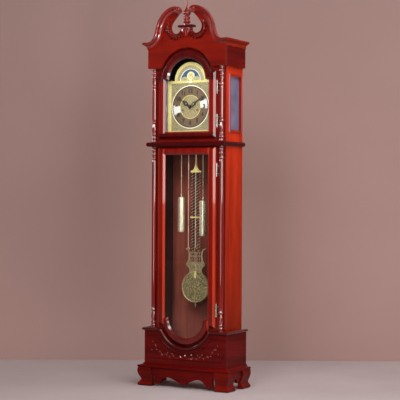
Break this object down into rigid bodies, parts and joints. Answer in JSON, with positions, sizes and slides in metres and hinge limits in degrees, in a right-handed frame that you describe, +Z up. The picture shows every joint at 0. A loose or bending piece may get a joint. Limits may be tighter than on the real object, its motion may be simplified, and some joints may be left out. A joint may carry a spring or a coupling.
{
  "type": "longcase clock",
  "caption": "Tall longcase clock with a swan-neck pediment, glazed hood and trunk doors, moon dial, chain-hung weights and lyre pendulum.",
  "frame": {"origin": "on the floor under the middle of the clock's bounding box", "axes": "+X to the right seen from the front, front faces -Y, +Z up"},
  "size_m": [0.554, 0.246, 2.058],
  "materials": {
    "mahogany": "gloss lacquer over deep red mahogany",
    "brass": "polished and aged brass",
    "glass": "clear bevelled glass",
    "black_hands": "black gloss",
    "steel": "bright",
    "moon_paint": "painted",
    "dial_ring": "brushed"
  },
  "bodies": {
    "case": {"aprons": "mahogany", "back_cock": "brass", "back_panel": "mahogany", "base_floor": "mahogany", "base_front": "mahogany", "base_sides": "mahogany", "base_top_moulding": "mahogany", "case_hinges": "steel", "case_sides": "mahogany", "columns": "mahogany", "dial_centre": "brass", "dial_plate": "brass", "dial_rings": "dial_ring", "feet": "mahogany", "finial": "mahogany", "gong": "brass", "frieze_front": "mahogany", "frieze_sides": "mahogany", "front_rails": "mahogany", "front_stiles": "mahogany", "movement_frame": "brass", "pediment_carving": "mahogany", "plinth_moulding": "mahogany", "seat_board": "mahogany", "side_cornices": "mahogany", "swan_necks": "mahogany", "top_board": "mahogany", "waist_moulding": "mahogany", "window_frames": "mahogany", "window_glass": "glass", "left_chain": "brass", "right_chain": "brass", "left_tail_chain": "brass", "right_tail_chain": "brass"},
    "hood_door": {"hood_door_frame": "mahogany", "hood_door_glass": "glass", "hood_door_hinge_leaves": "steel"},
    "trunk_door": {"trunk_door_frame": "mahogany", "trunk_door_glass": "glass", "trunk_door_hinge_leaves": "steel"},
    "moon": {"moon_disc": "moon_paint"},
    "hammer": {"strike_hammer": "steel"},
    "minute": {"minute_hand": "black_hands", "centre_arbor": "steel"},
    "hour": {"hour_hand": "black_hands", "hour_wheel": "brass"},
    "motion": {"minute_wheel": "brass"},
    "escape": {"escape_wheel": "brass"},
    "pallets": {"pallets": "steel"},
    "pendulum": {"pendulum_hanger": "brass", "pendulum_rods": "brass", "pendulum_lyre": "brass", "pendulum_bob": "brass", "rating_nut": "brass"},
    "left_arbor": {"left_arbor": "brass"},
    "right_arbor": {"right_arbor": "brass"},
    "left_weight": {"left_weight": "brass"},
    "right_weight": {"right_weight": "brass"},
    "left_tail": {"left_tail_ring": "brass"},
    "right_tail": {"right_tail_ring": "brass"}
  },
  "joints": [
    {"name": "hood_door_hinge", "type": "hinge", "parent": "case", "child": "hood_door", "pos_m": [0.1775, -0.0755, 1.48], "axis": [0, 0, 1], "range_deg": [0, 90]},
    {"name": "trunk_door_hinge", "type": "hinge", "parent": "case", "child": "trunk_door", "pos_m": [0.1775, -0.0755, 0.78], "axis": [0, 0, 1], "range_deg": [0, 90]},
    {"name": "moon_turn", "type": "hinge", "parent": "case", "child": "moon", "pos_m": [0, -0.043, 1.602], "axis": [0, 1, 0], "continuous": true},
    {"name": "minute_turn", "type": "hinge", "parent": "case", "child": "minute", "pos_m": [0, -0.05, 1.474], "axis": [0, 1, 0], "continuous": true},
    {"name": "hour_turn", "type": "hinge", "parent": "case", "child": "hour", "pos_m": [0, -0.05, 1.474], "axis": [0, 1, 0], "continuous": true},
    {"name": "motion_turn", "type": "hinge", "parent": "case", "child": "motion", "pos_m": [0, -0.036, 1.498], "axis": [0, 1, 0], "continuous": true},
    {"name": "escape_turn", "type": "hinge", "parent": "case", "child": "escape", "pos_m": [0, -0.009, 1.494], "axis": [0, 1, 0], "continuous": true},
    {"name": "hammer_lift", "type": "hinge", "parent": "case", "child": "hammer", "pos_m": [0.045, 0.06, 1.42], "axis": [1, 0, 0], "range_deg": [0, 15]},
    {"name": "pendulum_swing", "type": "hinge", "parent": "case", "child": "pendulum", "pos_m": [0, 0.016, 1.517], "axis": [0, 1, 0], "range_deg": [-3, 3]},
    {"name": "pallet_swing", "type": "hinge", "parent": "case", "child": "pallets", "pos_m": [0, 0, 1.517], "axis": [0, 1, 0], "range_deg": [-3, 3]},
    {"name": "left_weight_slide", "type": "slide", "parent": "case", "child": "left_weight", "axis": [0, 0, 1], "range_m": [-0.6, 0.33], "deforming": ["left_chain"]},
    {"name": "right_weight_slide", "type": "slide", "parent": "case", "child": "right_weight", "axis": [0, 0, 1], "range_m": [-0.58, 0.35], "deforming": ["right_chain"]},
    {"name": "left_tail_slide", "type": "slide", "parent": "case", "child": "left_tail", "axis": [0, 0, 1], "range_m": [-0.33, 0.6], "deforming": ["left_tail_chain"]},
    {"name": "right_tail_slide", "type": "slide", "parent": "case", "child": "right_tail", "axis": [0, 0, 1], "range_m": [-0.35, 0.58], "deforming": ["right_tail_chain"]},
    {"name": "left_arbor_turn", "type": "hinge", "parent": "case", "child": "left_arbor", "pos_m": [-0.044, -0.024, 1.456], "axis": [0, 1, 0], "range_deg": [-1563, 860]},
    {"name": "right_arbor_turn", "type": "hinge", "parent": "case", "child": "right_arbor", "pos_m": [0.044, -0.024, 1.456], "axis": [0, 1, 0], "range_deg": [-912, 1511]}
  ],
  "couplings": [
    {"joint": "hour_turn", "follows": "minute_turn", "ratio": 0.083333},
    {"joint": "motion_turn", "follows": "minute_turn", "ratio": -0.33333},
    {"joint": "escape_turn", "follows": "minute_turn", "ratio": 60},
    {"joint": "pallet_swing", "follows": "pendulum_swing", "ratio": 1},
    {"joint": "left_tail_slide", "follows": "left_weight_slide", "ratio": -1},
    {"joint": "right_tail_slide", "follows": "right_weight_slide", "ratio": -1},
    {"joint": "left_arbor_turn", "follows": "left_weight_slide", "rad_per_m": 45.455},
    {"joint": "right_arbor_turn", "follows": "right_weight_slide", "rad_per_m": -45.455}
  ]
}
